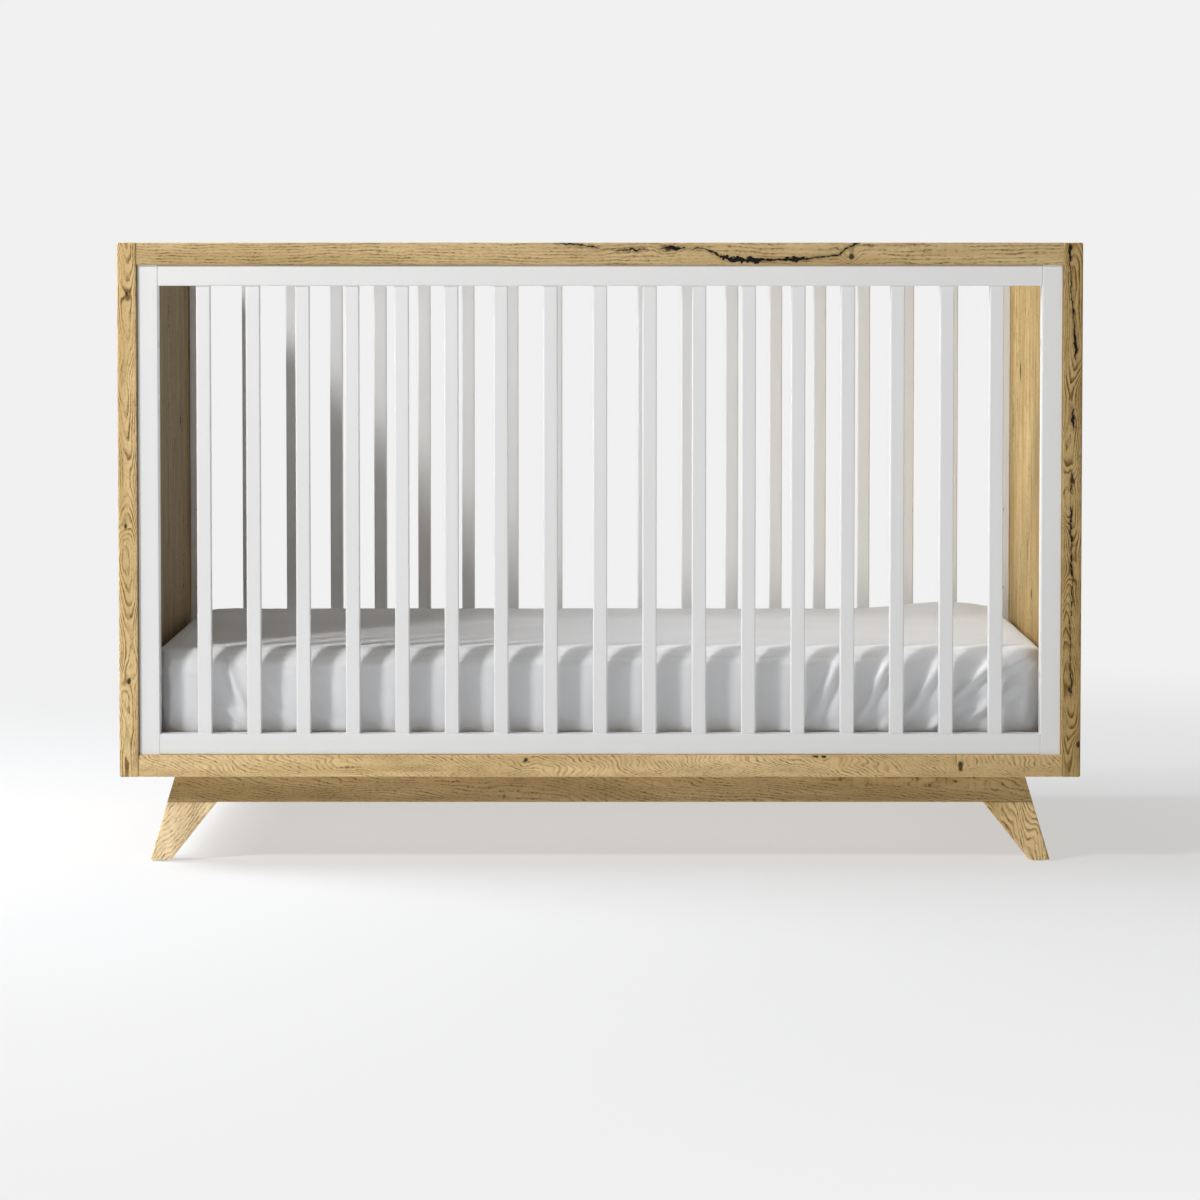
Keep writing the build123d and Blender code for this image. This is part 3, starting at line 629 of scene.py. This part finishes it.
def rounded_box(name, low, high, corner, edge, voxel):
    """An evenly meshed box with rounded corners and edges."""
    shape = bmesh.new()
    bmesh.ops.create_cube(shape, size=1.0)
    size, middle = high - low, (high + low) / 2
    for vertex in shape.verts:
        vertex.co = Vector(a * b for a, b in zip(vertex.co, size)) + middle
    upright = [e for e in shape.edges if abs(e.verts[0].co.z - e.verts[1].co.z) > size.z / 2]
    bmesh.ops.bevel(shape, geom=upright, offset=corner, segments=10, profile=0.5, affect="EDGES")
    rims = [e for e in shape.edges if abs(e.verts[0].co.z - e.verts[1].co.z) < edge]
    bmesh.ops.bevel(shape, geom=rims, offset=edge, segments=6, profile=0.5, affect="EDGES")
    mesh = bpy.data.meshes.new(name)
    shape.to_mesh(mesh)
    shape.free()
    made = new_object(name, mesh)
    remesh = made.modifiers.new("even", "REMESH")
    remesh.mode = "VOXEL"
    remesh.voxel_size = voxel
    remesh.use_smooth_shade = True
    return settle(made)


def smooth(made):
    for face in made.data.polygons:
        face.use_smooth = True


def normals_of(made):
    """Every vertex's normal, read before any vertex moves."""
    return [vertex.normal.copy() for vertex in made.data.vertices]


def quilting(point):
    """How deep the diamond quilting is at a point of a flat face."""
    across = [(point.x + side * point.y) / QUILT for side in (-1, 1)]
    gaps = [abs(value - round(value)) * QUILT for value in across]
    return QUILT_DEPTH * math.exp(-((min(gaps) / QUILT_WIDTH) ** 2))


def mattress_core():
    """A foam mattress in a quilted cover, a little smaller than its CAD solid."""
    low, high = mattress_low + CORE_INSET, mattress_high - CORE_INSET
    core = rounded_box("mattress_core", low, high, CORNER_ROUND, EDGE_ROUND, CORE_VOXEL)
    core.modifiers.new("finer", "SUBSURF").levels = 1
    settle(core)
    middle = (mattress_low + mattress_high) / 2
    for vertex, normal in zip(core.data.vertices, normals_of(core)):
        up = vertex.co.z - middle.z
        flat = max(0.0, abs(normal.z) - 0.5) * 2
        vertex.co.z -= math.copysign(quilting(vertex.co) * flat, up)
    smooth(core)
    core.data.materials.append(
        woven("ticking", (0.80, 0.79, 0.76, 1.0), (0.74, 0.73, 0.70, 1.0), 0.0014, 0.2)
    )
    return core


# Folds of the sheet on its front side: start and end as (x, z), height and width, in metres.
FRONT_FOLDS = [
    ((-0.547, 0.302), (-0.510, 0.212), 0.0050, 0.0058),
    ((-0.560, 0.240), (-0.506, 0.193), 0.0045, 0.0060),
    ((0.290, 0.184), (0.302, 0.212), 0.0045, 0.0045),
    ((0.304, 0.200), (0.352, 0.304), 0.0058, 0.0066),
    ((0.366, 0.192), (0.420, 0.290), 0.0055, 0.0062),
    ((0.395, 0.255), (0.428, 0.305), 0.0045, 0.0056),
    ((0.428, 0.190), (0.502, 0.300), 0.0064, 0.0074),
    ((0.470, 0.186), (0.530, 0.236), 0.0050, 0.0056),
    ((0.498, 0.226), (0.590, 0.308), 0.0066, 0.0062),
    ((0.520, 0.200), (0.612, 0.262), 0.0052, 0.0074),
    ((0.565, 0.268), (0.625, 0.300), 0.0040, 0.0060),
]


def fold_height(u, z, folds):
    """How far folds lift the cloth at a point of an upright side."""
    lift = 0.0
    for (u0, z0), (u1, z1), height, width in folds:
        run = Vector((u1 - u0, z1 - z0))
        from_start = Vector((u - u0, z - z0))
        share = from_start.dot(run) / run.length_squared
        if not 0 < share < 1:
            continue
        off = (from_start.x * run.y - from_start.y * run.x) / run.length / width
        crest = 0.6 * math.exp(-(off**2)) + 0.4 * math.exp(-abs(off) * 1.6)
        valley = 0.45 * math.exp(-((off - 1.7) ** 2))
        lift += height * math.sin(math.pi * share) ** 0.6 * (crest - valley)
    return lift


def chance_folds(count, seed, length):
    """Folds that slant towards the corners of a side, for the sides away from the front."""
    draw = random.Random(seed)
    folds = []
    for _ in range(count):
        side = draw.choice((-1, 1))
        u = side * length * draw.uniform(0.30, 0.48)
        z = draw.uniform(0.20, 0.26)
        reach = draw.uniform(0.03, 0.08)
        top = (u + side * reach * 0.6, z + reach)
        height, width = draw.uniform(0.002, 0.005), draw.uniform(0.006, 0.010)
        folds.append(((u, z), top, height, width))
    return folds


def sheet_start():
    """The sheet before it settles: round the mattress, open underneath inside its hem."""
    low, high = mattress_low - SHEET_OFF, mattress_high + SHEET_OFF
    low.z = mattress_low.z + 0.0002
    sheet = rounded_box("crib_sheet", low, high, CORNER_ROUND, EDGE_ROUND, SHEET_VOXEL)
    shape = bmesh.new()
    shape.from_mesh(sheet.data)
    inside = [
        face
        for face in shape.faces
        if face.calc_center_median().z < low.z + 0.002
        and abs(face.calc_center_median().x) < high.x - HEM
        and abs(face.calc_center_median().y) < high.y - HEM
    ]
    bmesh.ops.delete(shape, geom=inside, context="FACES")
    shape.to_mesh(sheet.data)
    shape.free()
    return sheet, low, high


def lift_folds(sheet, low, high, part):
    """Lifts the folds of the four upright sides by a part of their height."""
    end, other_end = chance_folds(9, 21, high.y * 2), chance_folds(9, 22, high.y * 2)
    back = chance_folds(16, 23, high.x * 2)
    for vertex, normal in zip(sheet.data.vertices, normals_of(sheet)):
        spot = vertex.co.copy()
        level = min(max((spot.z - low.z) / FOLDS_FADE, 0.0), 1.0) * (1 - abs(normal.z) ** 2)
        if abs(normal.y) > 0.6:
            lift = fold_height(spot.x, spot.z, FRONT_FOLDS if normal.y < 0 else back)
        elif abs(normal.x) > 0.6:
            lift = fold_height(spot.y, spot.z, end if normal.x < 0 else other_end)
        else:
            continue
        vertex.co += Vector((normal.x, normal.y, 0.0)) * lift * level * part


def ridge(rim, height, at, width):
    """Height of a ridge that runs round the top, at a distance from the rim."""
    return height * math.exp(-(((rim - at) / width) ** 2))


def shape_top(sheet, high):
    """A roll and a groove round the rim of the top, and a slight swell."""
    for vertex, normal in zip(sheet.data.vertices, normals_of(sheet)):
        if normal.z > 0.5:
            spot = vertex.co.copy()
            rim = min(high.x - abs(spot.x), high.y - abs(spot.y))
            swell = SWELL * noise.noise(spot * SWELL_SCALE + Vector((4.0, 1.0, 0.0)))
            vertex.co.z += ridge(rim, *ROLL) - ridge(rim, *GROOVE) + abs(swell)


def raise_corner(sheet):
    """The top stands a little higher near its right back corner."""
    for vertex, normal in zip(sheet.data.vertices, normals_of(sheet)):
        aside = (vertex.co.x - RAISED_AT.x) / RAISED_SIZE[0]
        back = (vertex.co.y - RAISED_AT.y) / RAISED_SIZE[1]
        vertex.co.z += RAISED_BY * math.exp(-(aside**2) - back**2) * max(normal.z, 0.0)


def keep_clear(sheet):
    """Holds the cloth off the end panels and off the bottom rails of the gates."""
    panel_low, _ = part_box("right_end_panel")
    rail_low, rail_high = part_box("back_gate_bottom_rail")
    side, end = panel_low[0] - CLEAR, rail_low[1] - CLEAR
    for vertex in sheet.data.vertices:
        vertex.co.x = min(max(vertex.co.x, -side), side)
        if vertex.co.z < rail_high[2] + CLEAR:
            vertex.co.y = min(max(vertex.co.y, -end), end)


def simulate(sheet, low):
    """Lets the sheet settle round the mattress as cloth, with its hem held."""
    firm_low, firm_high = mattress_low + CORE_INSET, mattress_high - CORE_INSET
    firm = rounded_box("firm", firm_low, firm_high, CORNER_ROUND, EDGE_ROUND, FIRM_VOXEL)
    held = sheet.vertex_groups.new(name="held")
    hem = [v.index for v in sheet.data.vertices if v.co.z < low.z + HELD_HEIGHT]
    held.add(hem, 1.0, "REPLACE")
    firm.modifiers.new("solid", "COLLISION")
    firm.collision.thickness_outer = 0.0012
    firm.collision.cloth_friction = 12.0
    cloth = sheet.modifiers.new("cloth", "CLOTH")
    cloth.settings.quality = 6
    cloth.settings.mass = 0.18
    cloth.settings.tension_stiffness = 18.0
    cloth.settings.compression_stiffness = 14.0
    cloth.settings.shear_stiffness = 6.0
    cloth.settings.bending_stiffness = 0.35
    cloth.settings.shrink_min = -0.006
    cloth.settings.vertex_group_mass = "held"
    cloth.collision_settings.distance_min = 0.0012
    cloth.collision_settings.collision_quality = 2
    cloth.point_cache.frame_end = SETTLE_FRAMES
    scene = bpy.context.scene
    scene.frame_start, scene.frame_end = 1, SETTLE_FRAMES
    for number in range(1, SETTLE_FRAMES + 1):
        scene.frame_set(number)
    start = [v.co.copy() for v in sheet.data.vertices]
    settle(sheet)
    for vertex, was in zip(sheet.data.vertices, start):
        move = vertex.co - was
        if move.length > MOST_MOVE:
            vertex.co = was + move * (MOST_MOVE / move.length)
    bpy.data.objects.remove(firm)
    scene.frame_set(1)


def fitted_sheet():
    """The sheet, with its folds, settled round the mattress and given its thickness."""
    sheet, low, high = sheet_start()
    lift_folds(sheet, low, high, LIFT_BEFORE)
    shape_top(sheet, high)
    simulate(sheet, low)
    sheet.modifiers.new("finer", "SUBSURF").levels = 1
    settle(sheet)
    lift_folds(sheet, low, high, LIFT_AFTER)
    raise_corner(sheet)
    keep_clear(sheet)
    shell = sheet.modifiers.new("cloth_thickness", "SOLIDIFY")
    shell.thickness = SHEET_CLOTH
    shell.offset = -1.0
    settle(sheet)
    smooth(sheet)
    sheet.data.materials.clear()
    sheet.data.materials.append(
        woven("cotton", (0.81, 0.817, 0.830, 1.0), (0.77, 0.777, 0.790, 1.0), 0.0011, 0.2)
    )
    return sheet


# Studio

EMPTY_WHITE = (0.88, 0.88, 0.88, 1.0)
FLOOR_GREY = (0.80, 0.80, 0.80, 1.0)
FLOOR_RADIUS = 9.0
FLOOR_SIDES = 96
GLOW_FROM, GLOW_TO = (0.6, 0.58), (3.0, 1.0)  # distance from the middle and the glow's share


def studio():
    """A pale floor that runs into a pale wall all round, far outside the crib."""
    shape = bmesh.new()
    bmesh.ops.create_circle(shape, cap_ends=True, segments=FLOOR_SIDES, radius=FLOOR_RADIUS)
    mesh = bpy.data.meshes.new("studio_floor")
    shape.to_mesh(mesh)
    shape.free()
    floor = new_object("studio_floor", mesh)
    s = Shade("studio_floor")
    x, y, _ = s.place()
    far = s.math("SQRT", s.add(s.times(x, x), s.times(y, y)))
    grain = s.noise(s.point(x, y, 0.0), 260.0, 2.0, 0.5)
    near = s.node("BsdfPrincipled", {"Base Color": FLOOR_GREY, "Roughness": 0.8})
    s.feed(near.inputs["Normal"], s.bump(grain, 0.0001))
    glow = s.node("Emission", {"Color": EMPTY_WHITE, "Strength": 1.0})
    share = s.span(far, GLOW_FROM[0], GLOW_TO[0], GLOW_FROM[1], GLOW_TO[1])
    both = s.node("MixShader", {0: share, 1: near.outputs[0], 2: glow.outputs[0]})
    s.tree.links.new(both.outputs[0], s.output.inputs[0])
    mesh.materials.append(s.material)

    shape = bmesh.new()
    bmesh.ops.create_cone(
        shape,
        cap_ends=True,
        segments=FLOOR_SIDES,
        radius1=FLOOR_RADIUS,
        radius2=FLOOR_RADIUS,
        depth=FLOOR_RADIUS,
    )
    for vertex in shape.verts:
        vertex.co.z += FLOOR_RADIUS / 2 - 0.001
    bottom = [face for face in shape.faces if face.calc_center_median().z < 0.01]
    bmesh.ops.delete(shape, geom=bottom, context="FACES")
    mesh = bpy.data.meshes.new("studio_wall")
    shape.to_mesh(mesh)
    shape.free()
    wall = new_object("studio_wall", mesh)
    s = Shade("studio_wall")
    glow = s.node("Emission", {"Color": EMPTY_WHITE, "Strength": 1.0})
    s.tree.links.new(glow.outputs[0], s.output.inputs[0])
    mesh.materials.append(s.material)
    wall.visible_diffuse = False
    wall.visible_shadow = False


def look_at(made, target):
    """Turns a lamp towards a point."""
    made.rotation_mode = "QUATERNION"
    made.rotation_quaternion = (Vector(target) - made.location).to_track_quat("-Z", "Y")


def lamp(name, place, size, power, target, colour=(1.0, 1.0, 1.0)):
    """A round area lamp that the camera doesn't see."""
    light = bpy.data.lights.new(name, "AREA")
    light.shape = "DISK"
    light.size = size
    light.energy = power
    light.color = colour
    made = bpy.data.objects.new(name, light)
    made.location = place
    made.visible_camera = False
    bpy.context.scene.collection.objects.link(made)
    look_at(made, target)


TOWARD_KEY = Vector((-1.0, -1.0, 0.92)).normalized()
KEY_DISTANCE = 4.5
KEY_SIZE = 0.63
KEY_POWER = 106.0
SIDE_PLACE = Vector((-3.0, 0.35, 2.3))
SIDE_SIZE = 2.0
SIDE_POWER = 150.0
SIDE_COLOUR = (0.955, 0.985, 1.04)
SURROUND_NEAR = 0.16
SURROUND_FAR = 0.05
CAMERA_DISTANCE = 5.76
EYE_HEIGHT = 0.8705
CAMERA_TILT = math.radians(2.77)
LENS, SENSOR = 120.4, 36.0
SHIFT = -0.12
FARTHEST = 60.0


def soft_surround():
    """Even light from all round the studio, stronger on the side of the key light."""
    world = bpy.data.worlds.new("studio")
    world.use_nodes = True
    tree = world.node_tree
    toward = tree.nodes.new("ShaderNodeTexCoord").outputs["Generated"]
    facing = tree.nodes.new("ShaderNodeVectorMath")
    facing.operation = "DOT_PRODUCT"
    facing.inputs[1].default_value = TOWARD_KEY
    strength = tree.nodes.new("ShaderNodeMapRange")
    strength.inputs[1].default_value = -1.0
    strength.inputs[2].default_value = 1.0
    strength.inputs[3].default_value = SURROUND_FAR
    strength.inputs[4].default_value = SURROUND_NEAR
    tree.links.new(toward, facing.inputs[0])
    tree.links.new(facing.outputs["Value"], strength.inputs[0])
    tree.links.new(strength.outputs[0], tree.nodes["Background"].inputs[1])
    tree.nodes["Background"].inputs[0].default_value = (1.0, 1.0, 1.0, 1.0)
    return world


def light_and_camera():
    centre = (cad_low + cad_high) / 2
    lamp("key_light", centre + TOWARD_KEY * KEY_DISTANCE, KEY_SIZE, KEY_POWER, centre)
    lamp("side_light", centre + SIDE_PLACE, SIDE_SIZE, SIDE_POWER, centre, SIDE_COLOUR)
    scene = bpy.context.scene
    scene.world = soft_surround()
    scene.view_settings.view_transform = "Standard"

    lens = bpy.data.cameras.new("camera")
    lens.lens = LENS
    lens.sensor_width = SENSOR
    lens.shift_y = SHIFT
    lens.clip_end = FARTHEST
    camera = bpy.data.objects.new("camera", lens)
    scene.collection.objects.link(camera)
    camera.location = (0.0, FRONT - CAMERA_DISTANCE, EYE_HEIGHT)
    camera.rotation_euler = (math.pi / 2 - CAMERA_TILT, 0.0, 0.0)
    scene.camera = camera


# Assembly

dress_frame()

core = mattress_core()
sheet = fitted_sheet()
for piece, node, slot in ((core, "mattress", "ticking"), (sheet, "fitted_sheet", "cotton")):
    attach(piece, "bedding")
    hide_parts(node)

studio()
light_and_camera()
